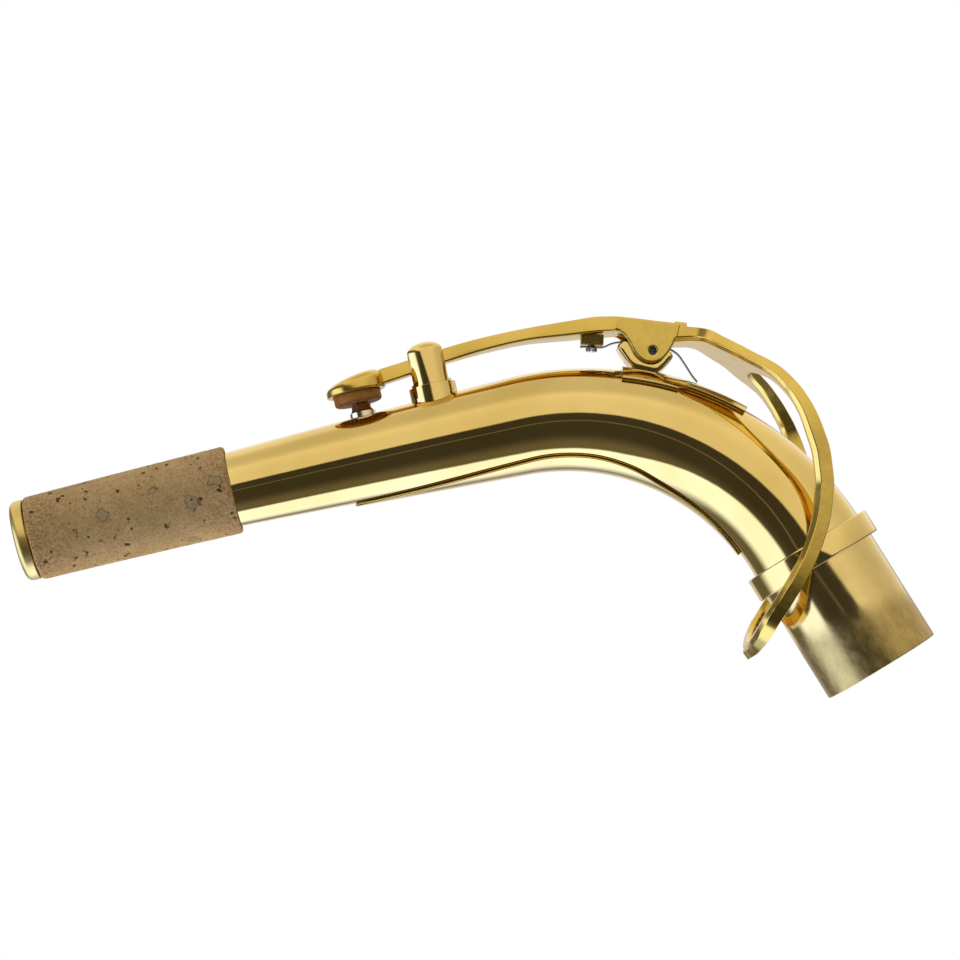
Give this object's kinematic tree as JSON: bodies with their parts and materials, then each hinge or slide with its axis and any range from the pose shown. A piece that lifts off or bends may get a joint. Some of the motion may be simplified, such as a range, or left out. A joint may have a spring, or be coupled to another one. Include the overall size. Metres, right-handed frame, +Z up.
{
  "type": "saxophone neck",
  "caption": "Curved, tapering brass saxophone neck with a cork sleeve for the mouthpiece, a collared tenon, and a sprung octave key whose ring passes round the collar.",
  "frame": {"origin": "centre of the flat shoulder under the collar, on the tenon's axis, where the neck seats", "axes": "+Z up along the tenon into the neck, -X towards the mouthpiece end, Y across; the neck and its key are symmetric about Y = 0"},
  "size_m": [0.1495, 0.0344, 0.1179],
  "materials": {
    "lacquered_brass": "polished, clear gold lacquer",
    "tenon_brass": "bare brass, bright near the collar and finely rubbed towards the rim",
    "cork": "sanded cork with dark pores",
    "nickel_silver": "bright nickel silver",
    "pad_leather": "tan pad leather",
    "blued_steel": "blued spring steel",
    "screw_steel": "bright turned steel"
  },
  "bodies": {
    "neck": {"neck_tube": "lacquered_brass", "tenon": "tenon_brass", "tenon_collar": "lacquered_brass", "end_ring": "lacquered_brass", "neck_cork": "cork", "octave_pip": "nickel_silver", "guide_foot": "lacquered_brass", "guide_post": "lacquered_brass", "saddle_plate": "lacquered_brass", "saddle_cradle": "lacquered_brass", "hinge_barrel": "lacquered_brass", "underside_brace": "lacquered_brass"},
    "octave_key": {"key_saddle": "lacquered_brass", "key_arm": "lacquered_brass", "key_ring": "lacquered_brass", "pad_cup": "lacquered_brass", "octave_pad": "pad_leather", "spring_boss": "lacquered_brass", "spring_screw": "screw_steel", "flat_spring": "blued_steel", "pivot_screw": "screw_steel"}
  },
  "joints": [
    {"name": "octave_key_hinge", "type": "hinge", "parent": "neck", "child": "octave_key", "pos_m": [-0.00617, 0, 0.05371], "axis": [0, 1, 0], "range_deg": [0, 5], "stiffness_Nm_per_rad": 0.3, "springref_deg": -8.59, "deforming": ["flat_spring"]}
  ]
}
